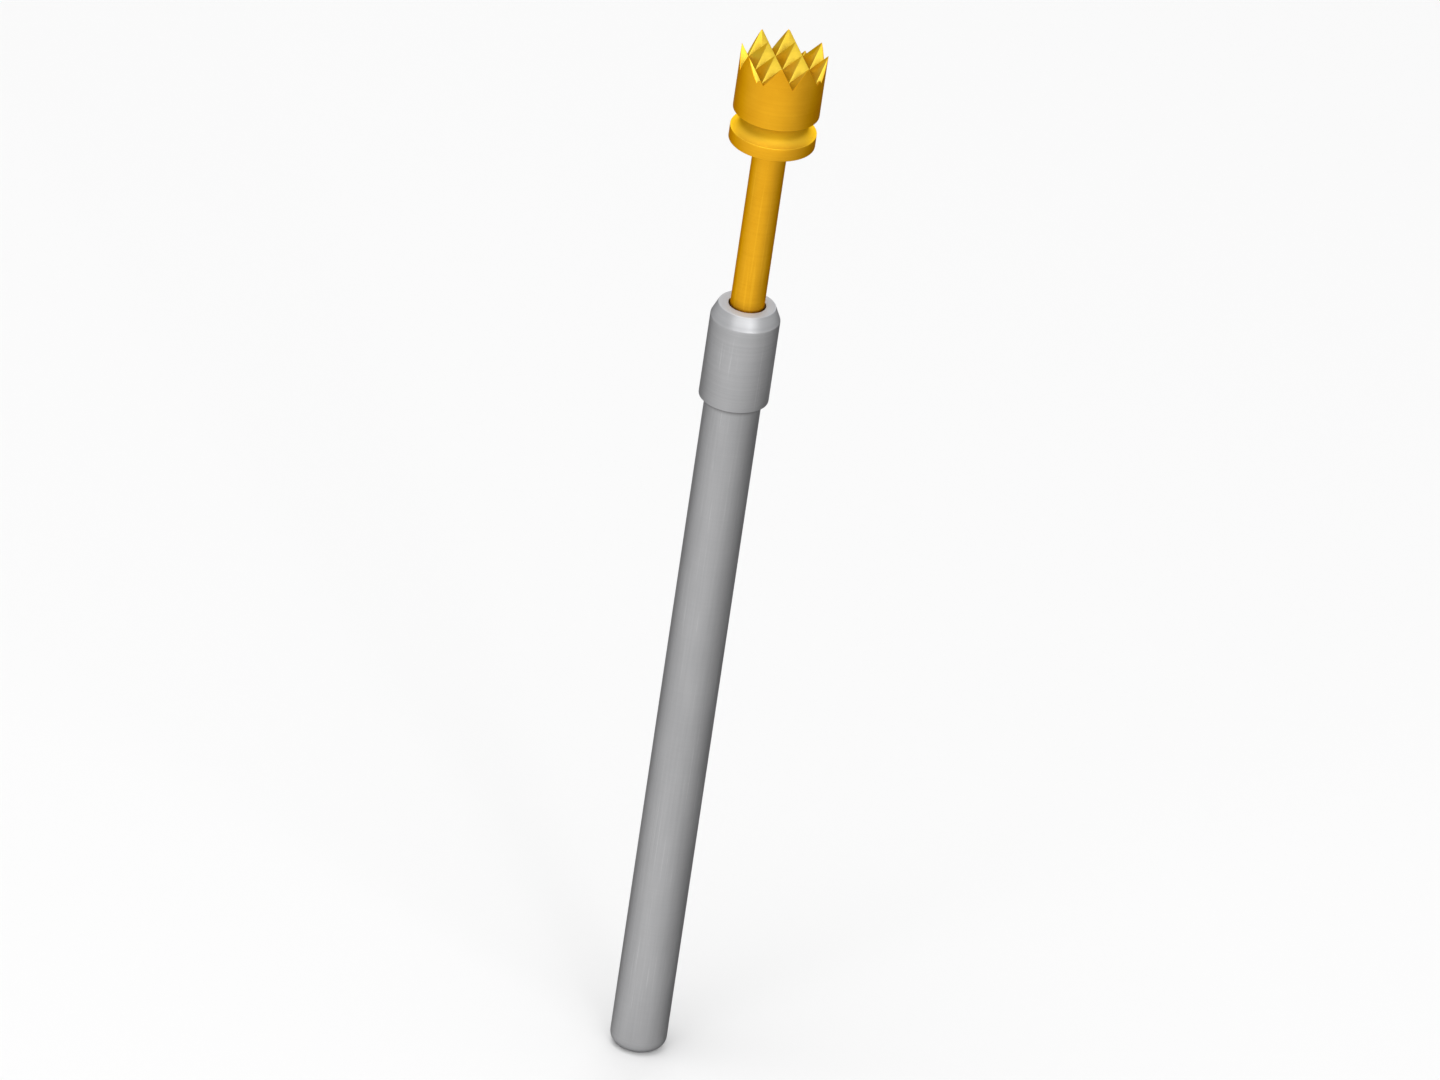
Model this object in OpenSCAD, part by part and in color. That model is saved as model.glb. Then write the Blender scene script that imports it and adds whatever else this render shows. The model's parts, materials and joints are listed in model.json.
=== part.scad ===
// Spring-loaded test probe: a tube with a collar, a waffle-crowned plunger that slides in it, and the spring between them.
// Millimetres. The axis is Z with the crown up, and the origin is the centre of the collar's underside.

/* [Barrel] */
// Outside diameter of the barrel
barrel_d = 1.36; // [1.3:0.02:1.5]
// Length of the barrel below the collar
barrel_l = 17.7; // [15:0.1:24]
// Thickness of the barrel's wall
barrel_wall = 0.13; // [0.08:0.01:0.16]
// Thickness of the closed end
end_t = 0.2; // [0.15:0.05:0.6]
// Radius around the outside of the closed end
end_r = 0.3; // [0.1:0.02:0.36]
// Radius around the floor of the bore
floor_r = 0.1; // [0.02:0.01:0.12]

/* [Collar] */
// Diameter of the collar
collar_d = 1.67; // [1.55:0.01:2]
// Height of the collar
collar_l = 2.5; // [1.5:0.1:4]
// Height of the chamfer around the collar's top
chamfer_h = 0.34; // [0.1:0.02:0.8]
// Width of that chamfer
chamfer_w = 0.15; // [0.05:0.01:0.25]
// Thickness of the lip that closes the mouth around the shaft
lip_t = 0.4; // [0.2:0.05:0.8]

/* [Plunger] */
// Diameter of the shaft
shaft_d = 0.82; // [0.6:0.02:0.88]
// Length of shaft between the mouth and the head
shaft_l = 4.4; // [2:0.1:6]
// Radius between the shaft and the head
shaft_r_head = 0.08; // [0.02:0.01:0.09]
// Length of the guide piston inside the barrel
piston_l = 5; // [3:0.5:7]
// Length of the pilot that centres the spring
pilot_l = 1.2; // [0.5:0.1:3]
// Chamfer on the edges of the piston and the pilot
piston_edge = 0.05; // [0.02:0.01:0.06]

/* [Head] */
// Diameter of the head
head_d = 2.06; // [1.8:0.02:2.4]
// Thickness of the flange under the groove
flange_t = 0.33; // [0.2:0.01:0.8]
// Width of the round groove, which is half as deep
groove_w = 0.49; // [0.2:0.01:0.8]
// Height of the crown from the groove to the points
crown_l = 1.66; // [1.2:0.02:3]

/* [Crown points] */
// Distance from point to point
point_pitch = 0.66; // [0.4:0.02:0.8]
// Angle between the two flanks of each cut
cut_angle = 60; // [50:5:90]

/* [Spring] */
// Diameter of the wire
wire_d = 0.16; // [0.1:0.01:0.18]
// Number of working coils
coils = 31; // [20:1:36]
// Number of closed coils at each end
end_coils = 1.5; // [1:0.25:2]
// Share of the wire's diameter left at the tip of each ground end
ground_tip = 0.6; // [0.55:0.05:0.9]

/* [Fits] */
// Clearance around the piston in the bore
guide_clearance = 0.025; // [0.01:0.005:0.04]
// Clearance around the shaft in the mouth
mouth_clearance = 0.04; // [0.02:0.005:0.06]
// Clearance around the spring in the bore
spring_clearance = 0.04; // [0.02:0.005:0.06]
// Clearance around the pilot inside the spring
pilot_clearance = 0.05; // [0.02:0.01:0.08]
// Gap at each end of the spring and between its closed coils
coil_gap = 0.02; // [0.01:0.005:0.04]

/* [Hidden] */
$fn = 96;

// Radii
barrel_r = barrel_d / 2;
bore_r = barrel_r - barrel_wall;
collar_r = collar_d / 2;
shaft_r = shaft_d / 2;
mouth_r = shaft_r + mouth_clearance;
piston_r = bore_r - guide_clearance;
head_r = head_d / 2;
wire_r = wire_d / 2;
coil_r = bore_r - spring_clearance - wire_r;
pilot_r = coil_r - wire_r - pilot_clearance;
groove_r = groove_w / 2;

// Heights above the collar's underside
floor_z = end_t - barrel_l;
lip_z = collar_l - lip_t;
piston_z = lip_z - piston_l;
pilot_z = piston_z - pilot_l;
flange_z = collar_l + shaft_l;
groove_z = flange_z + flange_t + groove_r;
tip_z = flange_z + flange_t + groove_w + crown_l;

// Cuts of the crown, an odd number so that one runs through the axis
cut_depth = point_pitch / 2 / tan(cut_angle / 2);
cut_count = 2 * ceil(head_r / point_pitch) + 1;
cut_top = tip_z + cut_depth;
cut_half = cut_count * point_pitch / 2;

// Spring, measured from its lower end
spring_z = floor_z + coil_gap;
spring_l = piston_z - coil_gap - spring_z;
tip_h = (ground_tip - 0.5) * wire_d;
closed_pitch = wire_d + coil_gap;
closed_h = tip_h + closed_pitch * end_coils;
turns = coils + 2 * end_coils;
open_pitch = (spring_l - 2 * closed_h) / coils;
wire_sides = 8;
rings_per_turn = 12;
ring_count = ceil(turns * rings_per_turn);

// One quarter of a disc, below and to the right of its centre
module corner(r) {
    intersection() {
        circle(r);
        translate([0, -r]) square(r);
    }
}

// A bar from the axis out to r, between two heights, with its lower edge rounded
module round_foot(r, z_low, z_high, edge_r) {
    translate([0, z_low + edge_r]) square([r, z_high - z_low - edge_r]);
    translate([0, z_low]) square([r - edge_r, edge_r]);
    translate([r - edge_r, z_low + edge_r]) corner(edge_r);
}

module collar_outline() {
    polygon([
        [0, 0],
        [collar_r, 0],
        [collar_r, collar_l - chamfer_h],
        [collar_r - chamfer_w, collar_l],
        [0, collar_l]
    ]);
}

module barrel() {
    color("#a9a9ab")
    rotate_extrude()
    difference() {
        union() {
            round_foot(barrel_r, -barrel_l, collar_l / 2, end_r);
            collar_outline();
        }
        round_foot(bore_r, floor_z, lip_z, floor_r);
        translate([0, lip_z - lip_t / 2]) square([mouth_r, 2 * lip_t]);
    }
}

// Half section of the plunger before the crown is cut
module plunger_outline() {
    difference() {
        polygon([
            [0, pilot_z],
            [pilot_r - piston_edge, pilot_z],
            [pilot_r, pilot_z + piston_edge],
            [pilot_r, piston_z],
            [piston_r - piston_edge, piston_z],
            [piston_r, piston_z + piston_edge],
            [piston_r, lip_z - piston_edge],
            [piston_r - piston_edge, lip_z],
            [shaft_r, lip_z],
            [shaft_r, flange_z - shaft_r_head],
            [shaft_r + shaft_r_head, flange_z],
            [head_r, flange_z],
            [head_r, tip_z],
            [0, tip_z]
        ]);
        translate([shaft_r + shaft_r_head, flange_z - shaft_r_head]) circle(shaft_r_head);
        translate([head_r, groove_z]) circle(groove_r);
    }
}

// All cuts in one direction, as one toothed bar that lies along Y
module crown_cuts() {
    teeth = [
        for (i = [0 : 2 * cut_count])
            [i * point_pitch / 2 - cut_half, i % 2 == 0 ? tip_z : tip_z - cut_depth]
    ];
    rotate([90, 0, 0])
    linear_extrude(2 * head_d, center = true)
    polygon(concat(teeth, [[cut_half, cut_top], [-cut_half, cut_top]]));
}

module plunger() {
    color("#e2a31a")
    difference() {
        rotate_extrude() plunger_outline();
        crown_cuts();
        rotate([0, 0, 90]) crown_cuts();
    }
}

// Height of the wire's centre after t turns from the lower end
function coil_height(t) =
    t < end_coils ? tip_h + closed_pitch * t
    : t > turns - end_coils ? spring_l - tip_h - closed_pitch * (turns - t)
    : closed_h + open_pitch * (t - end_coils);

// Point j of the wire's section after t turns, cut flat at both ground ends
function coil_point(t, j) =
    let (
        turn = 360 * t,
        round = 360 * j / wire_sides,
        r = coil_r + wire_r * cos(round),
        z = coil_height(t) + wire_r * sin(round)
    )
    [r * cos(turn), r * sin(turn), spring_z + min(max(z, 0), spring_l)];

// Triangles that close one end of the wire, fanned from the section's corner that lies farthest from the ground flat
function end_fan(first, corner) = [
    for (k = [1 : wire_sides - 2])
        [first + corner, first + (corner + k + 1) % wire_sides, first + (corner + k) % wire_sides]
];

module spring() {
    points = [
        for (i = [0 : ring_count])
            for (j = [0 : wire_sides - 1])
                coil_point(turns * i / ring_count, j)
    ];
    sides = [
        for (i = [0 : ring_count - 1])
            for (j = [0 : wire_sides - 1])
                let (
                    a = i * wire_sides + j,
                    b = i * wire_sides + (j + 1) % wire_sides
                )
                each [[a, b, a + wire_sides], [b, b + wire_sides, a + wire_sides]]
    ];
    lower_end = end_fan(0, wire_sides / 4);
    upper_end = [for (f = end_fan(ring_count * wire_sides, wire_sides * 3 / 4)) [f.x, f.z, f.y]];
    color("#c8c8cc")
    polyhedron(points, concat(sides, lower_end, upper_end));
}

barrel();
plunger();
spring();
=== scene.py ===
import json
import math

import bmesh
import bpy
from mathutils import Matrix, Vector


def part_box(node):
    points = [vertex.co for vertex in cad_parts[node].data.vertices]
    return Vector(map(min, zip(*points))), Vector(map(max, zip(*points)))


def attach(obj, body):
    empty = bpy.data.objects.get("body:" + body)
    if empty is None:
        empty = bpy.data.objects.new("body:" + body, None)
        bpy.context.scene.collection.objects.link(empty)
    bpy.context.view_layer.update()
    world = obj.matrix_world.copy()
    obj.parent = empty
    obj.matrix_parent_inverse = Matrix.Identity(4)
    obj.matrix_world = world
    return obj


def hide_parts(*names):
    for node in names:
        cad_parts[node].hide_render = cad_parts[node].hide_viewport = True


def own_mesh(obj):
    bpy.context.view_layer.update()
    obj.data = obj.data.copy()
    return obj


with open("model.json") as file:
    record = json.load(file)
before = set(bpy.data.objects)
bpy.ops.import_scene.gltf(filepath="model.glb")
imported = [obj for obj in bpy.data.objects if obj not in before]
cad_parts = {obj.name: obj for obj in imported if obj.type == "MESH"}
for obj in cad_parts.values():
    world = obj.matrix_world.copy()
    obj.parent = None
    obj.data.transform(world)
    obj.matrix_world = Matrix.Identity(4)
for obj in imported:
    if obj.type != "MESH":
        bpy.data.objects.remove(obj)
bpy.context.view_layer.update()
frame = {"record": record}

# Sizes in millimetres. What the frame states is read from it, and the rest repeats the part's own values.
MM = 0.001
barrel_low, barrel_high = (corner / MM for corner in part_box("barrel"))
plunger_low, plunger_high = (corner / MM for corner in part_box("plunger"))
spring_low, spring_high = (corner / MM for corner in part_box("spring"))
shank = next(mount for mount in frame["record"]["mounts"] if mount["name"] == "barrel_shank")

# Barrel and collar
BARREL_R = shank["dims"]["r_mm"]
END_Z = barrel_low.z
END_ROUND = 0.3
WALL = 0.13
END_WALL = 0.2
BORE_R = BARREL_R - WALL
BORE_ROUND = 0.1
FLOOR_Z = END_Z + END_WALL
COLLAR_R = barrel_high.x
COLLAR_TOP = barrel_high.z
CHAMFER_H = 0.34
CHAMFER_W = 0.15
WALL_TOP = COLLAR_TOP - CHAMFER_H
FACE_R = COLLAR_R - CHAMFER_W
LIP_T = 0.4
LIP_Z = COLLAR_TOP - LIP_T

# Plunger
SHAFT_R = 0.41
SHAFT_ROUND = 0.08
MOUTH_CLEARANCE = 0.04
MOUTH_R = SHAFT_R + MOUTH_CLEARANCE
GUIDE_CLEARANCE = 0.025
PISTON_R = BORE_R - GUIDE_CLEARANCE
PISTON_EDGE = 0.05
PISTON_L = 5
PISTON_Z = LIP_Z - PISTON_L
PILOT_R = 0.3
PILOT_Z = plunger_low.z
HEAD_R = plunger_high.x
TIP_Z = plunger_high.z
CROWN_L = 1.66
CROWN_LOW = TIP_Z - CROWN_L
GROOVE_W = 0.49
GROOVE_R = GROOVE_W / 2
FLANGE_T = 0.33
FLANGE_TOP = CROWN_LOW - GROOVE_W
FLANGE_Z = FLANGE_TOP - FLANGE_T
GROOVE_Z = FLANGE_TOP + GROOVE_R

# Crown points. Cuts and the diagonal ridges between them face eight ways round the axis, and where they
# meet the rim, angles that agree to six digits count as one.
POINT_PITCH = 0.66
HALF_PITCH = POINT_PITCH / 2
DIAGONAL_PITCH = POINT_PITCH / math.sqrt(2)
CUT_ANGLE = math.radians(60)
VALLEY_Z = TIP_Z - HALF_PITCH / math.tan(CUT_ANGLE / 2)
FACINGS = 8
ANGLE_DIGITS = 6

# Spring, with the share of the wire that is left at the tip of each ground end
WIRE_R = 0.08
COIL_R = spring_high.x - WIRE_R
COILS = 31
END_COILS = 1.5
COIL_GAP = 0.02
CLOSED_PITCH = 2 * WIRE_R + COIL_GAP
GROUND_TIP = 0.6
WIRE_TIP = (2 * GROUND_TIP - 1) * WIRE_R

# Fine edges, and how finely the round shapes are divided
EDGE = 0.02
FINE_EDGE = 0.01
POINT_EDGE = 0.007
RIM_BAND = 3 * POINT_EDGE
SMALL_ROUND = 0.05
POINT_STEPS = 2
EDGE_STEPS = 3
ROUND_STEPS = 14
AROUND = 192
WIRE_SIDES = 16
WIRE_STEPS = 40

# Angles past which an edge is shaded sharp, and past which a ridge of the crown is blunted
SHARP = math.radians(35)
BLUNTED = SHARP / 2

# Distances within which points are merged
MERGE = 1e-5
COIL_MERGE = 1e-4
CROWN_MERGE = 1e-3


def turned(bm, corners):
    """Spins a half section round the axis. A corner is its radius, its height and its rounding."""
    points = [bm.verts.new((radius, 0, height)) for radius, height, _ in corners]
    for start, end in zip(points, points[1:]):
        bm.edges.new((start, end))
    for point, (_, _, rounding) in zip(points, corners):
        if rounding:
            bmesh.ops.bevel(
                bm,
                geom=[point],
                affect="VERTICES",
                offset=rounding,
                offset_type="OFFSET",
                segments=ROUND_STEPS if rounding > SMALL_ROUND else EDGE_STEPS,
                profile=0.5,
                material=-1,
            )
    bmesh.ops.spin(
        bm,
        geom=bm.verts[:] + bm.edges[:],
        cent=(0, 0, 0),
        axis=(0, 0, 1),
        angle=math.tau,
        steps=AROUND,
        use_merge=True,
    )
    bmesh.ops.remove_doubles(bm, verts=bm.verts, dist=MERGE)


def open_edges(bm):
    return [edge for edge in bm.edges if edge.is_boundary]


def trim(bm, point, outward):
    """Cuts away all that lies outside a plane."""
    bmesh.ops.bisect_plane(
        bm,
        geom=bm.verts[:] + bm.edges[:] + bm.faces[:],
        dist=MERGE,
        plane_co=point,
        plane_no=outward,
        clear_outer=True,
    )


def rim_angles():
    """Angles at which the crown's cuts and ridges meet its rim, with even steps between them."""
    meets = set()
    for number in range(FACINGS):
        facing = number * math.tau / FACINGS
        spacing = POINT_PITCH if number % 2 == 0 else DIAGONAL_PITCH
        for line in range(int(HEAD_R / spacing) + 1):
            swing = math.acos(line * spacing / HEAD_R)
            for angle in (facing - swing, facing + swing):
                meets.add(round(angle % math.tau, ANGLE_DIGITS))
    meets = sorted(meets)
    angles = []
    for start, end in zip(meets, meets[1:] + [meets[0] + math.tau]):
        steps = max(1, round((end - start) / (math.tau / AROUND)))
        angles += [start + (end - start) * step / steps for step in range(steps)]
    return angles


def waffle(bm):
    """Raises rows of points from a flat sheet and trims it round."""
    cells = math.ceil(HEAD_R / HALF_PITCH)
    bmesh.ops.create_grid(bm, x_segments=2 * cells, y_segments=2 * cells, size=cells * HALF_PITCH)
    creases = []
    for vert in bm.verts:
        across = round(vert.co.x / HALF_PITCH) % 2
        along = round(vert.co.y / HALF_PITCH) % 2
        vert.co.z = TIP_Z if across and along else VALLEY_Z
        if across == along:
            creases.append(vert)
    bmesh.ops.connect_verts(bm, verts=creases)
    angles = rim_angles()
    for start, end in zip(angles, angles[1:] + [angles[0] + math.tau]):
        middle = (start + end) / 2
        outward = Vector((math.cos(middle), math.sin(middle), 0))
        trim(bm, outward * HEAD_R * math.cos((end - start) / 2), outward)
    bmesh.ops.remove_doubles(bm, verts=bm.verts, dist=MERGE)


def rim_below(bm):
    """Draws a wall from the open edge of the crown and returns its lower corners, to be moved down."""
    made = bmesh.ops.extrude_edge_only(bm, edges=open_edges(bm))["geom"]
    return [part for part in made if isinstance(part, bmesh.types.BMVert)]


def crown_shell(wall_z):
    """The waffle as a mesh, with its round wall down to a height, and its ridges and rim a little blunt."""
    bm = bmesh.new()
    waffle(bm)
    bmesh.ops.translate(bm, vec=(0, 0, -RIM_BAND), verts=rim_below(bm))
    for vert in rim_below(bm):
        vert.co.z = wall_z
    bmesh.ops.recalc_face_normals(bm, faces=bm.faces)
    blunt = [
        edge for edge in bm.edges
        if not edge.is_boundary and edge.calc_face_angle_signed() > BLUNTED
    ]
    bmesh.ops.bevel(
        bm,
        geom=blunt,
        affect="EDGES",
        offset=POINT_EDGE,
        offset_type="OFFSET",
        segments=POINT_STEPS,
        profile=0.5,
        clamp_overlap=True,
        material=-1,
    )
    bmesh.ops.remove_doubles(bm, verts=bm.verts, dist=CROWN_MERGE)
    mesh = bpy.data.meshes.new("crown_shell")
    bm.to_mesh(mesh)
    bm.free()
    return mesh


def finished(bm, name, body, node, material):
    """Turns a shape in millimetres into a piece that rides on a body and stands for a node."""
    bmesh.ops.recalc_face_normals(bm, faces=bm.faces)
    bmesh.ops.scale(bm, vec=(MM, MM, MM), verts=bm.verts)
    for face in bm.faces:
        face.smooth = True
    mesh = bpy.data.meshes.new(name)
    bm.to_mesh(mesh)
    bm.free()
    mesh.set_sharp_from_angle(angle=SHARP)
    mesh.materials.append(material)
    piece = bpy.data.objects.new(name, mesh)
    bpy.context.scene.collection.objects.link(piece)
    even = piece.modifiers.new("even_shading", "WEIGHTED_NORMAL")
    even.mode = "FACE_AREA"
    even.keep_sharp = True
    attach(piece, body)
    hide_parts(node)
    return piece


def make_barrel(material):
    bm = bmesh.new()
    turned(bm, [
        (0, END_Z, 0),
        (BARREL_R, END_Z, END_ROUND),
        (BARREL_R, 0, EDGE),
        (COLLAR_R, 0, EDGE),
        (COLLAR_R, WALL_TOP, EDGE),
        (FACE_R, COLLAR_TOP, EDGE),
        (MOUTH_R, COLLAR_TOP, FINE_EDGE),
        (MOUTH_R, LIP_Z, FINE_EDGE),
        (BORE_R, LIP_Z, EDGE),
        (BORE_R, FLOOR_Z, BORE_ROUND),
        (0, FLOOR_Z, 0),
    ])
    finished(bm, "collared_barrel", "barrel", "barrel", material)


def make_plunger(material):
    """The crown's wall ends just below its cuts, and is bridged to the turned wall under it."""
    bm = bmesh.new()
    groove_round = GROOVE_R - FINE_EDGE
    wall_z = VALLEY_Z - 2 * EDGE
    bridge_z = (wall_z + CROWN_LOW) / 2
    turned(bm, [
        (HEAD_R, bridge_z, 0),
        (HEAD_R, CROWN_LOW, FINE_EDGE),
        (HEAD_R - GROOVE_R, CROWN_LOW, groove_round),
        (HEAD_R - GROOVE_R, FLANGE_TOP, groove_round),
        (HEAD_R, FLANGE_TOP, FINE_EDGE),
        (HEAD_R, FLANGE_Z, EDGE),
        (SHAFT_R, FLANGE_Z, SHAFT_ROUND),
        (SHAFT_R, LIP_Z, 0),
        (PISTON_R - PISTON_EDGE, LIP_Z, 0),
        (PISTON_R, LIP_Z - PISTON_EDGE, 0),
        (PISTON_R, PISTON_Z + PISTON_EDGE, 0),
        (PISTON_R - PISTON_EDGE, PISTON_Z, 0),
        (PILOT_R, PISTON_Z, 0),
        (PILOT_R, PILOT_Z + PISTON_EDGE, 0),
        (PILOT_R - PISTON_EDGE, PILOT_Z, 0),
        (0, PILOT_Z, 0),
    ])
    shell = crown_shell(wall_z)
    bm.from_mesh(shell)
    bpy.data.meshes.remove(shell)
    bmesh.ops.bridge_loops(bm, edges=open_edges(bm))
    finished(bm, "waffle_plunger", "plunger", "plunger", material)


def wind(bm, angle, height, turns, rise):
    """Winds wire from an angle and a height, and returns what it made."""
    before = set(bm.verts) | set(bm.edges) | set(bm.faces)
    turn = Matrix.Rotation(angle, 4, "Z")
    place = turn @ Matrix.Translation((COIL_R, 0, height)) @ Matrix.Rotation(math.pi / 2, 4, "X")
    bmesh.ops.create_circle(bm, segments=WIRE_SIDES, radius=WIRE_R, matrix=place)
    section = [part for part in bm.verts[:] + bm.edges[:] if part not in before]
    steps = round(turns * WIRE_STEPS)
    bmesh.ops.spin(
        bm,
        geom=section,
        cent=(0, 0, 0),
        axis=(0, 0, 1),
        dvec=(0, 0, rise / steps),
        angle=turns * math.tau,
        steps=steps,
        use_merge=False,
    )
    return [part for part in bm.verts[:] + bm.edges[:] + bm.faces[:] if part not in before]


def make_spring(material):
    """Closed coils at both ends and open coils between them, ground flat at both ends."""
    bm = bmesh.new()
    closed_rise = CLOSED_PITCH * END_COILS
    open_z = spring_low.z + WIRE_TIP + closed_rise
    open_end = spring_high.z - WIRE_TIP - closed_rise
    open_pitch = (open_end - open_z) / COILS
    open_angle = END_COILS * math.tau
    wind(bm, 0, spring_low.z + WIRE_TIP, END_COILS, closed_rise)
    wind(bm, open_angle, open_end, END_COILS, closed_rise)
    coil = wind(bm, open_angle, open_z, 1, open_pitch)
    for number in range(1, COILS):
        copy = bmesh.ops.duplicate(bm, geom=coil)["geom"]
        raised = [part for part in copy if isinstance(part, bmesh.types.BMVert)]
        bmesh.ops.translate(bm, vec=(0, 0, number * open_pitch), verts=raised)
    bmesh.ops.remove_doubles(bm, verts=bm.verts, dist=COIL_MERGE)
    bmesh.ops.holes_fill(bm, edges=open_edges(bm))
    for height, up in ((spring_low.z, -1), (spring_high.z, 1)):
        trim(bm, (0, 0, height), (0, 0, up))
        bmesh.ops.holes_fill(bm, edges=open_edges(bm))
    piece = finished(bm, "coil_spring", "barrel", "spring", material)
    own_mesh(piece)


# Turned rings lean with the radius, to show on flat faces too, and drift slowly round the axis
RING_LEAN = 0.7
RING_DRIFT = 0.12

# Detail and crispness of the noises that make the marks
RING_DETAIL = 5
LINE_DETAIL = 4
BLOOM_DETAIL = 4
PLAIN = 0
SOFT = 0.5
CRISP = 0.72

# Turn of the stretched gloss that sets it across the rings, as a share of a full turn
ACROSS_RINGS = 0.25

# Places of the colour sockets on a Mix node
MIX_SHARE = 0
MIX_FIRST = 6
MIX_SECOND = 7
MIX_RESULT = 2


class Nodes:
    """A node tree, and the steps that work out its values and colours."""

    def __init__(self, tree):
        self.tree = tree

    def add(self, kind, **settings):
        """Adds a node of a kind and sets its options."""
        step = self.tree.nodes.new(kind)
        for name, setting in settings.items():
            setattr(step, name, setting)
        return step

    def feed(self, socket, value):
        """Gives a socket another node's output, or a number, colour or vector of its own."""
        if isinstance(value, bpy.types.NodeSocket):
            self.tree.links.new(value, socket)
        else:
            socket.default_value = value

    def fill(self, step, values):
        """Feeds the sockets of a node by their names."""
        for name, value in values.items():
            self.feed(step.inputs[name], value)

    def figure(self, operation, *values):
        step = self.add("ShaderNodeMath", operation=operation)
        for socket, value in zip(step.inputs, values):
            self.feed(socket, value)
        return step.outputs["Value"]

    def product(self, result, *others):
        for other in others:
            result = self.figure("MULTIPLY", result, other)
        return result

    def most(self, result, *others):
        for other in others:
            result = self.figure("MAXIMUM", result, other)
        return result

    def blend(self, share, first, second):
        """Runs from the first value to the second as the share grows."""
        return self.figure("MULTIPLY_ADD", share, self.figure("SUBTRACT", second, first), first)

    def weighed(self, weights, **masks):
        """A base value, to which each mask adds its weight."""
        total = weights["base"]
        for name, mask in masks.items():
            total = self.figure("MULTIPLY_ADD", mask, weights[name], total)
        return total

    def eased(self, value, start, end, low=0, high=1):
        """Eases from low to high while a value runs from start to end."""
        step = self.add("ShaderNodeMapRange", interpolation_type="SMOOTHSTEP")
        self.fill(step, {
            "Value": value,
            "From Min": start,
            "From Max": end,
            "To Min": low,
            "To Max": high,
        })
        return step.outputs["Result"]

    def fading(self, value, start, end):
        return self.eased(value, start, end, 1, 0)

    def past(self, value, target):
        """Nothing below a target and one above it."""
        return self.eased(value, target - FINE_EDGE, target + FINE_EDGE)

    def near(self, value, target, reach):
        """One where a value meets its target, fading out at a reach from it."""
        away = self.figure("ABSOLUTE", self.figure("SUBTRACT", value, target))
        return self.fading(away, 0, reach)

    def joined(self, across, along, up):
        step = self.add("ShaderNodeCombineXYZ")
        for socket, value in zip(step.inputs, (across, along, up)):
            self.feed(socket, value)
        return step.outputs["Vector"]

    def stretched(self, vector, across, along, up):
        step = self.add("ShaderNodeVectorMath", operation="MULTIPLY")
        self.feed(step.inputs[0], vector)
        self.feed(step.inputs[1], (across, along, up))
        return step.outputs["Vector"]

    def cloud(self, vector, detail, crispness=SOFT, per_mm=1):
        """A noise between nought and one."""
        step = self.add("ShaderNodeTexNoise")
        self.fill(step, {
            "Vector": vector,
            "Scale": per_mm,
            "Detail": detail,
            "Roughness": crispness,
        })
        return step.outputs["Fac"]

    def mixed(self, share, first, second):
        """Mixes two colours."""
        step = self.add("ShaderNodeMix", data_type="RGBA")
        self.feed(step.inputs[MIX_SHARE], share)
        self.feed(step.inputs[MIX_FIRST], first)
        self.feed(step.inputs[MIX_SECOND], second)
        return step.outputs[MIX_RESULT]


class Finish(Nodes):
    """A metal, with its piece's own coordinates in millimetres, which its marks follow."""

    def __init__(self, name):
        self.material = bpy.data.materials.new(name)
        self.material.use_nodes = True
        super().__init__(self.material.node_tree)
        self.shader = self.tree.nodes["Principled BSDF"]
        place = self.add("ShaderNodeTexCoord").outputs["Object"]
        self.place = self.stretched(place, 1 / MM, 1 / MM, 1 / MM)
        split = self.add("ShaderNodeSeparateXYZ")
        self.feed(split.inputs["Vector"], self.place)
        self.x, self.y, self.z = split.outputs
        squares = self.figure("ADD", self.product(self.x, self.x), self.product(self.y, self.y))
        self.radius = self.figure("SQRT", squares)

    def turning_rings(self, per_mm, detail=RING_DETAIL):
        """Fine rings that a turning tool leaves, also across faces and chamfers."""
        along = self.figure("MULTIPLY_ADD", self.radius, RING_LEAN, self.z)
        rings = self.joined(
            self.product(self.x, RING_DRIFT),
            self.product(self.y, RING_DRIFT),
            self.product(along, per_mm),
        )
        return self.cloud(rings, detail, CRISP)

    def lengthwise_lines(self, per_mm, length, detail=LINE_DETAIL):
        """Lines along the axis, as drawing a tube or sliding in a hole leaves them."""
        lines = self.stretched(self.place, per_mm, per_mm, 1 / length)
        return self.cloud(lines, detail, CRISP)

    def bloom(self, per_mm, flow=1, detail=BLOOM_DETAIL):
        """Soft patches, which a flow below one draws out along the axis."""
        return self.cloud(self.stretched(self.place, 1, 1, flow), detail, per_mm=per_mm)

    def surface(self, **inputs):
        """Feeds the shader's sockets, which are named with underscores for spaces."""
        for name, value in inputs.items():
            self.feed(self.shader.inputs[name.replace("_", " ")], value)

    def relief(self, height, depth):
        """Raises the surface by a height between nought and one, times a depth in millimetres."""
        bump = self.add("ShaderNodeBump")
        self.fill(bump, {"Distance": depth * MM, "Height": height})
        self.surface(Normal=bump.outputs["Normal"])

    def grain(self, amount):
        """Stretches the gloss across the marks that run round the axis."""
        tangent = self.add(
            "ShaderNodeVectorTransform",
            vector_type="VECTOR",
            convert_from="OBJECT",
            convert_to="WORLD",
        )
        self.feed(tangent.inputs["Vector"], self.joined(self.product(self.y, -1), self.x, 0))
        self.surface(Tangent=tangent.outputs["Vector"])
        self.surface(Anisotropic=amount, Anisotropic_Rotation=ACROSS_RINGS)


# Nickel silver tones, painted shade under the collar, and painted light on the face and chamfer with its
# shares
NICKEL_DARK = (0.31, 0.31, 0.317, 1)
NICKEL_LIGHT = (0.48, 0.48, 0.486, 1)
NICKEL_EDGE = (0.45, 0.45, 0.45, 1)
NICKEL_PAINTED_SHADE = (0.09, 0.088, 0.085, 1)
NICKEL_PAINTED_LIGHT = (0.61, 0.625, 0.65, 1)
FACE_LIGHT_SHARE = 0.8
CHAMFER_LIGHT_SHARE = 0.2

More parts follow.
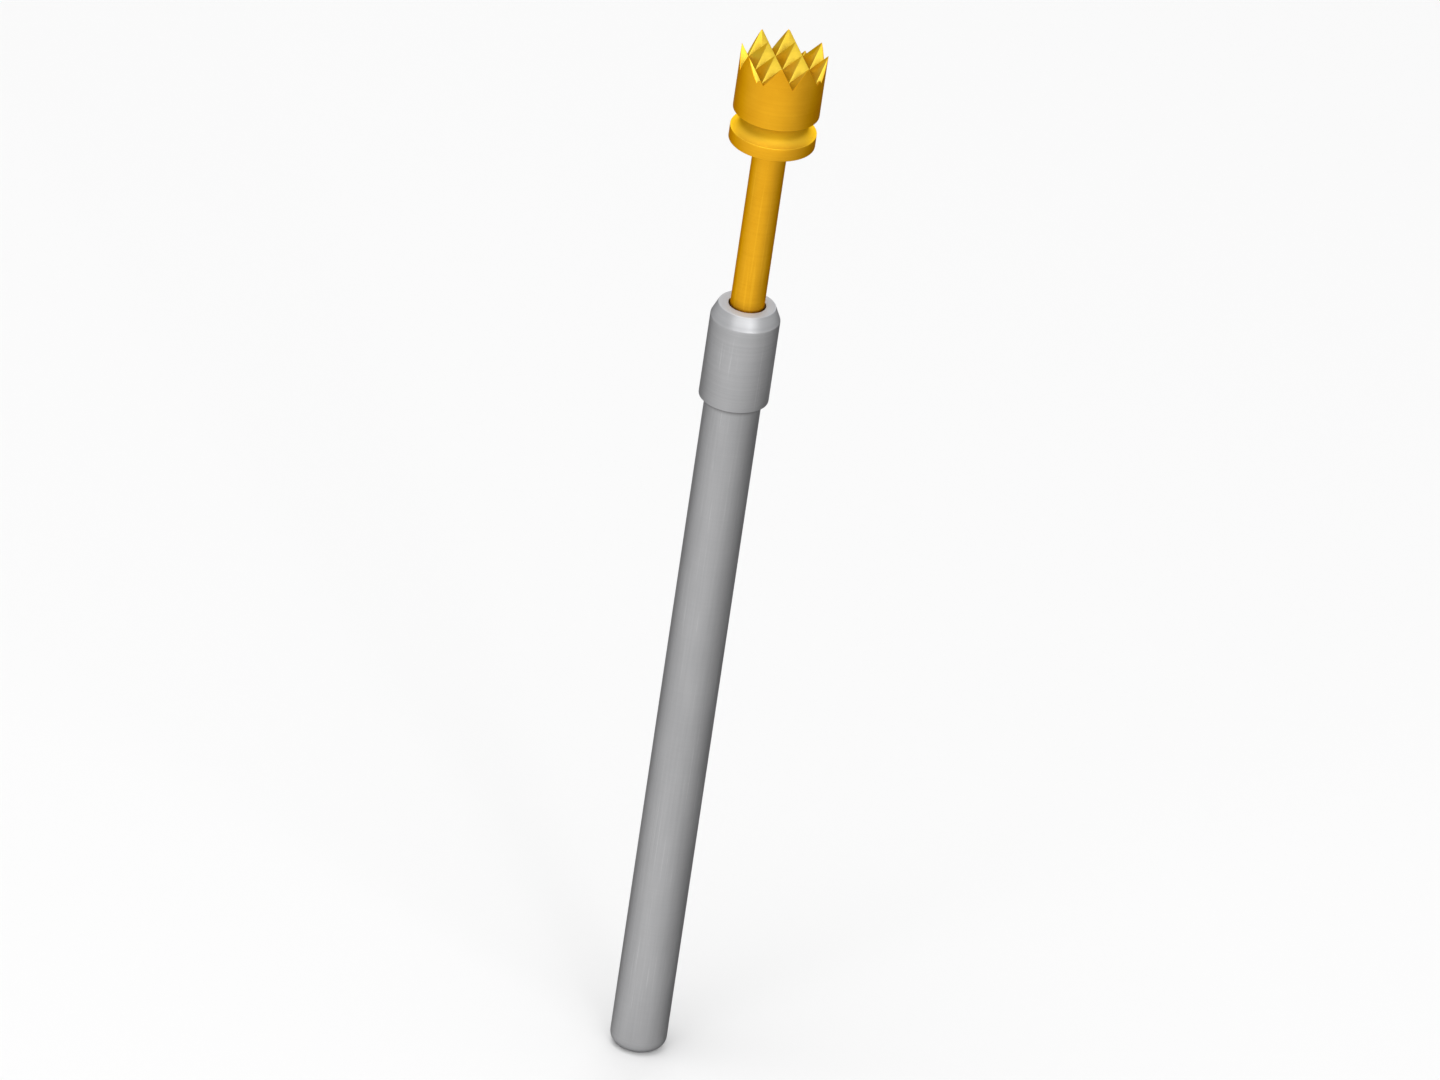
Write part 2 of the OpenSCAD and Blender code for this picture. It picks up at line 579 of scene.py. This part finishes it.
# Its marks: their number to a millimetre, their lengths, and the share of rings among the tube's lines
COLLAR_RINGS = 11
TUBE_LINES = 18
TUBE_LINE_L = 4
TUBE_RING_SHARE = 0.35
HAIRS = 34
HAIR_L = 2
NICKEL_BLOOM = 1.6
NICKEL_FLOW = 0.35

# Stretches of a noise over which scratches, their patches and wear come in
HAIR_RANGE = (0.68, 0.74)
PATCH_RANGE = (0.45, 0.62)
NICKEL_WEAR_RANGE = (0.3, 0.7)
NICKEL_WEAR_LEAST = 0.35

# How far wear and painted shade reach from an edge, where scratches fade out below the chamfer, and how far
# up the closed end its rings reach
COLLAR_REACH = 0.05
FACE_REACH = 0.04
MOUTH_REACH = 0.03
PAINTED_SHADE_REACH = 0.2
HAIR_FADE = 0.3
END_RINGS = 0.45

# What marks add to the tone and the roughness, the depth of the relief, and the stretch of the gloss
NICKEL_SHADE = {"base": -0.125, "bloom": 0.5, "marks": 0.75, "wear": 0.3, "scratches": 0.35}
NICKEL_ROUGH = {"base": 0.38, "marks": -0.16, "bloom": 0.16, "wear": -0.1, "chamfer": 0.1, "face": 0.25}
NICKEL_DEPTH = 0.003
SCRATCH_HEIGHT = -0.4
NICKEL_GRAIN = 0.5


def collar_edges(finish, outside):
    """The edges of the collar that wear first: both ends of its wall, and both rims of its face."""
    wall_top = finish.near(finish.z, WALL_TOP, COLLAR_REACH)
    foot = finish.product(finish.near(finish.z, 0, COLLAR_REACH), outside)
    rims = finish.most(
        finish.near(finish.radius, FACE_R, FACE_REACH),
        finish.near(finish.radius, MOUTH_R, MOUTH_REACH),
    )
    rims = finish.product(rims, finish.near(finish.z, COLLAR_TOP, MOUTH_REACH))
    return finish.most(wall_top, foot, rims)


def nickel_silver():
    """Satin nickel silver: a drawn tube with a turned collar and end, a little worn along the edges."""
    finish = Finish("nickel_silver")
    bloom = finish.bloom(NICKEL_BLOOM, NICKEL_FLOW)

    # Rings on the collar and the closed end, and drawn lines among fainter rings on the tube
    rings = finish.turning_rings(COLLAR_RINGS)
    lines = finish.lengthwise_lines(TUBE_LINES, TUBE_LINE_L)
    collar = finish.past(finish.z, 0)
    end = finish.fading(finish.z, END_Z + END_ROUND, END_Z + END_RINGS)
    tube = finish.blend(TUBE_RING_SHARE, lines, rings)
    marks = finish.blend(finish.most(collar, end), tube, rings)

    # Patches of hair-fine scratches below the chamfer, from pushing the probe into its seat
    scratches = finish.product(
        finish.eased(finish.lengthwise_lines(HAIRS, HAIR_L, PLAIN), *HAIR_RANGE),
        finish.eased(bloom, *PATCH_RANGE),
        finish.fading(finish.z, WALL_TOP - HAIR_FADE, WALL_TOP - COLLAR_REACH),
    )

    # Wear along the collar's edges, and painted shade on the barrel just under the collar
    outside = finish.eased(finish.radius, BARREL_R + EDGE, BARREL_R + 4 * EDGE)
    inside = finish.figure("SUBTRACT", 1, outside)
    worn_share = finish.eased(bloom, *NICKEL_WEAR_RANGE, NICKEL_WEAR_LEAST, 1)
    wear = finish.product(collar_edges(finish, outside), worn_share)
    painted_shade = finish.product(finish.near(finish.z, 0, PAINTED_SHADE_REACH), inside)

    face = finish.eased(finish.z, COLLAR_TOP - EDGE, COLLAR_TOP - EDGE / 4)
    chamfer = finish.past(finish.z, WALL_TOP)
    shade = finish.weighed(NICKEL_SHADE, bloom=bloom, marks=marks, wear=wear, scratches=scratches)
    rough = finish.weighed(
        NICKEL_ROUGH,
        marks=marks,
        bloom=bloom,
        wear=wear,
        chamfer=chamfer,
        face=face,
    )
    color = finish.mixed(shade, NICKEL_DARK, NICKEL_LIGHT)
    # Painted light: the chamfer and the face, which face up, are lightened as if lit from above
    color = finish.mixed(finish.product(chamfer, CHAMFER_LIGHT_SHARE), color, NICKEL_PAINTED_LIGHT)
    color = finish.mixed(finish.product(face, FACE_LIGHT_SHARE), color, NICKEL_PAINTED_LIGHT)
    # Painted shade: the barrel is darkened just under the collar
    color = finish.mixed(painted_shade, color, NICKEL_PAINTED_SHADE)
    finish.surface(Metallic=1, Base_Color=color, Roughness=rough, Specular_Tint=NICKEL_EDGE)
    finish.relief(finish.figure("MULTIPLY_ADD", scratches, SCRATCH_HEIGHT, marks), NICKEL_DEPTH)
    finish.grain(NICKEL_GRAIN)
    return finish.material


# Tones of the gold plating, and how far the cuts and the groove take on their painted light and shade
GOLD_DEEP = (0.62, 0.27, 0.006, 1)
GOLD_BRIGHT = (0.88, 0.466, 0.024, 1)
GOLD_EDGE = (0.8, 0.52, 0.12, 1)
GOLD_SHADED_CUT = (0.59, 0.39, 0.042, 1)
GOLD_LIT_CUT = (0.685, 0.51, 0.048, 1)
GOLD_VALLEY = (0.6, 0.5, 0.08, 1)
GOLD_GROOVE_SHADE = (0.56, 0.345, 0.014, 1)
GOLD_GROOVE_LIGHT = (0.98, 0.68, 0.055, 1)
CUT_SHARE = 0.8
SHADED_VALLEY_SHARE = 0.8
LIT_VALLEY_SHARE = 0.5
GROOVE_SHARE = 0.85

# Its marks: their number to a millimetre, and their lengths
HEAD_RINGS = 12
CUTTER_LINES = 20
CUTTER_DRIFT = 0.9
RUBS = 20
RUB_L = 2
SPECKS = 22
SPECK_DETAIL = 1
GOLD_BLOOM = 1.3

# Stretches of a noise over which rub marks, specks and wear come in
RUB_RANGE = (0.62, 0.74)
SPECK_RANGE = (0.72, 0.8)
GOLD_WEAR_RANGE = (0.3, 0.65)
GOLD_WEAR_LEAST = 0.4

# How far wear and the cuts' tones reach, and where the groove turns from its painted light below to its
# painted shade above
RIDGE_REACH = 0.035
FLANGE_REACH = 0.045
POINT_REACH = 0.12
VALLEY_REACH = 0.45
CUT_EASE = 0.006
GROOVE_LOW = 0.025
GROOVE_HIGH = 0.185

# What marks add to the tone and the roughness, the depth of the relief, and the stretch of the gloss
GOLD_SHADE = {"base": -0.05, "bloom": 0.55, "marks": 0.55, "wear": 0.4, "rubs": 0.2, "specks": -0.25}
GOLD_ROUGH = {"base": 0.32, "marks": -0.1, "bloom": 0.14, "wear": -0.1, "valley": 0.12, "groove": 0.3}
GOLD_DEPTH = 0.0024
GOLD_GRAIN = 0.45


def crown_flanks(finish):
    """The flanks of the points, the ridges and valleys among them, and the painted light and shade of the
    cuts.
    """
    inside = finish.fading(finish.radius, HEAD_R - EDGE, HEAD_R - CUT_EASE)
    above = finish.eased(finish.z, VALLEY_Z - 3 * FINE_EDGE, VALLEY_Z - FINE_EDGE)
    flank = finish.product(inside, above)
    from_cut_x = finish.figure("PINGPONG", finish.x, HALF_PITCH)
    from_cut_y = finish.figure("PINGPONG", finish.y, HALF_PITCH)
    ridge = finish.product(finish.near(from_cut_x, from_cut_y, RIDGE_REACH), flank)
    valley = finish.product(finish.near(finish.z, VALLEY_Z, VALLEY_REACH), flank)

    # Painted shade on flanks facing X, painted light on flanks facing Y, and valleys painted against
    # reflected orange
    shaded_flanks = finish.fading(finish.figure("SUBTRACT", from_cut_x, from_cut_y), -CUT_EASE, CUT_EASE)
    shaded_valley = finish.product(valley, SHADED_VALLEY_SHARE)
    lit_valley = finish.product(valley, LIT_VALLEY_SHARE)
    shaded_tone = finish.mixed(shaded_valley, GOLD_SHADED_CUT, GOLD_VALLEY)
    lit_tone = finish.mixed(lit_valley, GOLD_LIT_CUT, GOLD_VALLEY)
    return flank, ridge, valley, finish.mixed(shaded_flanks, lit_tone, shaded_tone)


def head_rims(finish):
    """The edges of the flange and of the crown's foot."""
    outside = finish.eased(finish.radius, HEAD_R - 3 * EDGE, HEAD_R - EDGE)
    rims = finish.most(
        finish.near(finish.z, FLANGE_TOP, RIDGE_REACH),
        finish.near(finish.z, CROWN_LOW, RIDGE_REACH),
        finish.near(finish.z, FLANGE_Z, FLANGE_REACH),
    )
    return finish.product(rims, outside)


def painted_groove(finish):
    """The groove, and its painted light and shade: lighter on the lower side, which faces up, and darker
    under the crown.
    """
    away = finish.figure("ABSOLUTE", finish.figure("SUBTRACT", finish.z, GROOVE_Z))
    groove = finish.fading(away, GROOVE_R, GROOVE_R + FINE_EDGE)
    lower_side = finish.fading(finish.z, FLANGE_TOP + GROOVE_LOW, FLANGE_TOP + GROOVE_HIGH)
    return groove, finish.mixed(lower_side, GOLD_GROOVE_SHADE, GOLD_GROOVE_LIGHT)


def gold_plating():
    """Hard gold over turned metal, with cutter lines on the points and brighter edges."""
    finish = Finish("gold_plating")
    bloom = finish.bloom(GOLD_BLOOM)
    flank, ridge, valley, cut_light_and_shade = crown_flanks(finish)
    groove, groove_light_and_shade = painted_groove(finish)

    # Rings on the round parts, and lines of the cutter along the flanks
    rings = finish.turning_rings(HEAD_RINGS)
    cutter_lines = finish.stretched(finish.place, CUTTER_DRIFT, CUTTER_DRIFT, CUTTER_LINES)
    marks = finish.blend(flank, rings, finish.cloud(cutter_lines, LINE_DETAIL, CRISP))

    # Wear on the ridges, rims and points
    point = finish.eased(finish.z, TIP_Z - POINT_REACH, TIP_Z)
    worn_share = finish.eased(bloom, *GOLD_WEAR_RANGE, GOLD_WEAR_LEAST, 1)
    wear = finish.product(finish.most(ridge, head_rims(finish), point), worn_share)

    # Faint rub marks along the shaft, where it slides in the mouth, and dull specks all over
    rubs = finish.eased(finish.lengthwise_lines(RUBS, RUB_L, PLAIN), *RUB_RANGE)
    shaft = finish.fading(finish.radius, SHAFT_R + FINE_EDGE, SHAFT_R + 3 * FINE_EDGE)
    rubs = finish.product(rubs, shaft)
    specks = finish.cloud(finish.place, SPECK_DETAIL, per_mm=SPECKS)
    specks = finish.eased(specks, *SPECK_RANGE)

    shade = finish.weighed(GOLD_SHADE, bloom=bloom, marks=marks, wear=wear, rubs=rubs, specks=specks)
    rough = finish.weighed(
        GOLD_ROUGH,
        marks=marks,
        bloom=bloom,
        wear=wear,
        valley=valley,
        groove=groove,
    )
    color = finish.mixed(shade, GOLD_DEEP, GOLD_BRIGHT)
    # Painted light and shade on the flanks of the cuts
    color = finish.mixed(finish.product(flank, CUT_SHARE), color, cut_light_and_shade)
    # Painted light and shade in the groove
    color = finish.mixed(finish.product(groove, GROOVE_SHARE), color, groove_light_and_shade)
    finish.surface(Metallic=1, Base_Color=color, Roughness=rough, Specular_Tint=GOLD_EDGE)
    finish.relief(marks, GOLD_DEPTH)
    finish.grain(GOLD_GRAIN)
    return finish.material


# Tones and marks of the spring wire, what the marks add to tone and roughness, and their depth
WIRE_DARK = (0.44, 0.44, 0.46, 1)
WIRE_LIGHT = (0.68, 0.68, 0.7, 1)
WIRE_LINES = 30
WIRE_LINE_DETAIL = 1
WIRE_BLOOM = 3
WIRE_BLOOM_DETAIL = 3
WIRE_SHADE = {"base": 0, "bloom": 0.5, "lines": 0.5}
WIRE_ROUGH = {"base": 0.22, "bloom": 0.2}
WIRE_DEPTH = 0.001


def spring_wire():
    """Drawn stainless wire: lines that follow the coils, and a few dull patches."""
    finish = Finish("spring_wire")
    lines = finish.turning_rings(WIRE_LINES, WIRE_LINE_DETAIL)
    bloom = finish.bloom(WIRE_BLOOM, detail=WIRE_BLOOM_DETAIL)
    shade = finish.weighed(WIRE_SHADE, bloom=bloom, lines=lines)
    rough = finish.weighed(WIRE_ROUGH, bloom=bloom)
    color = finish.mixed(shade, WIRE_DARK, WIRE_LIGHT)
    finish.surface(Metallic=1, Base_Color=color, Roughness=rough)
    finish.relief(lines, WIRE_DEPTH)
    return finish.material


# Camera, fitted to the photograph: its direction and roll in degrees, its distance, its scale in pixels
# to a millimetre, the point that it aims at, and how far that point lies from the middle of the picture
VIEW_AZIMUTH = -17.83
VIEW_ELEVATION = 28.62
VIEW_ROLL = 8.497
VIEW_DISTANCE = 900
SCALE_PX = 42.29
PHOTO_W = 1440
SENSOR_W = 36
AIM = Vector((0, 0, -4))
SHIFT_RIGHT = -0.1991
SHIFT_UP = -0.075
QUARTER_TURN = 90

# Its nearest and farthest sight, in metres
SIGHT_NEAR = 0.01
SIGHT_FAR = 10


def turn_to(azimuth, elevation):
    """Direction from the object to a place around it, in the frame's own axes."""
    around = math.radians(azimuth)
    above = math.radians(elevation)
    return Vector((
        math.sin(around) * math.cos(above),
        -math.cos(around) * math.cos(above),
        math.sin(above),
    ))


def make_camera():
    back = turn_to(VIEW_AZIMUTH, VIEW_ELEVATION)
    level = turn_to(VIEW_AZIMUTH + QUARTER_TURN, 0)
    upright = back.cross(level)
    roll = math.radians(VIEW_ROLL)
    right = level * math.cos(roll) + upright * math.sin(roll)
    up = upright * math.cos(roll) - level * math.sin(roll)
    camera = bpy.data.objects.new("camera", bpy.data.cameras.new("camera"))
    camera.data.lens = SCALE_PX * VIEW_DISTANCE * SENSOR_W / PHOTO_W
    camera.data.sensor_width = SENSOR_W
    camera.data.clip_start = SIGHT_NEAR
    camera.data.clip_end = SIGHT_FAR
    place = AIM + back * VIEW_DISTANCE - right * SHIFT_RIGHT - up * SHIFT_UP
    turned_axes = Matrix((right, up, back)).transposed().to_4x4()
    camera.matrix_world = Matrix.Translation(place * MM) @ turned_axes
    bpy.context.scene.collection.objects.link(camera)
    bpy.context.scene.camera = camera


# Studio, in metres
WHITE = (1, 1, 1, 1)
TABLE_R = 1
TABLE_Z = END_Z * MM
TABLE_WHITE = (0.9, 0.9, 0.9, 1)
CARD_R = 0.2
CARD_LIFT = 0.00005
CARD_FACING = -30
CARD_DARK = 0.3
CARD_LIGHT = 0.95
DISC_SIDES = 64
SKY_LIGHT = 0.62
SKY_WHITE = 0.9

# Soft lamps: direction in degrees, with the azimuth from the camera's own, distance, size and radiance
SOFTBOXES = {
    "front": dict(azimuth=5, elevation=32, distance=0.4, width=0.66, height=0.25, radiance=1.5),
    "highlight": dict(azimuth=20, elevation=19, distance=0.4, width=0.06, height=0.06, radiance=9),
    "back": dict(azimuth=180, elevation=30, distance=0.4, width=0.3, height=0.25, radiance=1.1),
    "top": dict(azimuth=-60, elevation=75, distance=0.5, width=0.25, height=0.25, radiance=3),
}


def staged_disc(name, radius, height, material):
    bm = bmesh.new()
    bmesh.ops.create_circle(bm, cap_ends=True, segments=DISC_SIDES, radius=radius)
    bmesh.ops.translate(bm, vec=(0, 0, height), verts=bm.verts)
    mesh = bpy.data.meshes.new(name)
    bm.to_mesh(mesh)
    bm.free()
    mesh.materials.append(material)
    disc = bpy.data.objects.new(name, mesh)
    bpy.context.scene.collection.objects.link(disc)
    return disc


def matt(name, color):
    material = bpy.data.materials.new(name)
    material.use_nodes = True
    shader = material.node_tree.nodes["Principled BSDF"]
    shader.inputs["Roughness"].default_value = 1
    shader.inputs["Specular IOR Level"].default_value = 0
    shader.inputs["Base Color"].default_value = color
    return material


def make_floor():
    staged_disc("floor", TABLE_R, TABLE_Z, matt("white_table", TABLE_WHITE))


def make_card():
    """A card round the foot that only the metal mirrors, graduated from light in front to dark behind."""
    material = matt("graduated_card", WHITE)
    nodes = Nodes(material.node_tree)
    place = nodes.add("ShaderNodeTexCoord").outputs["Object"]
    level = nodes.add("ShaderNodeVectorMath", operation="NORMALIZE")
    nodes.feed(level.inputs[0], nodes.stretched(place, 1, 1, 0))
    facing = nodes.add("ShaderNodeVectorMath", operation="DOT_PRODUCT")
    nodes.feed(facing.inputs[0], level.outputs["Vector"])
    nodes.feed(facing.inputs[1], turn_to(VIEW_AZIMUTH + CARD_FACING, 0))
    shade = nodes.add("ShaderNodeMapRange")
    nodes.fill(shade, {
        "Value": facing.outputs["Value"],
        "From Min": -1,
        "From Max": 1,
        "To Min": CARD_DARK,
        "To Max": CARD_LIGHT,
    })
    shader = material.node_tree.nodes["Principled BSDF"]
    nodes.feed(shader.inputs["Base Color"], shade.outputs["Result"])
    card = staged_disc("card", CARD_R, TABLE_Z + CARD_LIFT, material)
    card.visible_camera = False
    card.visible_diffuse = False
    card.visible_shadow = False


def softbox(name, azimuth, elevation, distance, width, height, radiance):
    """A soft lamp aimed at the object, placed by its direction from the camera's own."""
    lamp = bpy.data.lights.new(name, "AREA")
    lamp.shape = "RECTANGLE"
    lamp.size = width
    lamp.size_y = height
    lamp.energy = radiance * math.pi * width * height
    back = turn_to(VIEW_AZIMUTH + azimuth, elevation)
    box = bpy.data.objects.new(name, lamp)
    box.location = AIM * MM + back * distance
    box.rotation_euler = back.to_track_quat("Z", "Y").to_euler()
    box.visible_camera = False
    bpy.context.scene.collection.objects.link(box)


def make_light():
    """Soft lamps, and an even sky that looks whiter to the camera and the metal than it lights."""
    world = bpy.data.worlds.new("studio")
    bpy.context.scene.world = world
    world.use_nodes = True
    nodes = Nodes(world.node_tree)
    path = nodes.add("ShaderNodeLightPath").outputs
    seen = nodes.most(path["Is Camera Ray"], path["Is Glossy Ray"], path["Is Transmission Ray"])
    strength = nodes.figure("MULTIPLY_ADD", seen, SKY_WHITE - SKY_LIGHT, SKY_LIGHT)
    nodes.fill(world.node_tree.nodes["Background"], {"Color": WHITE, "Strength": strength})
    for name, setting in SOFTBOXES.items():
        softbox(name, **setting)


bpy.context.scene.view_settings.view_transform = "Standard"
make_camera()
make_floor()
make_card()
make_light()
make_barrel(nickel_silver())
make_plunger(gold_plating())
make_spring(spring_wire())
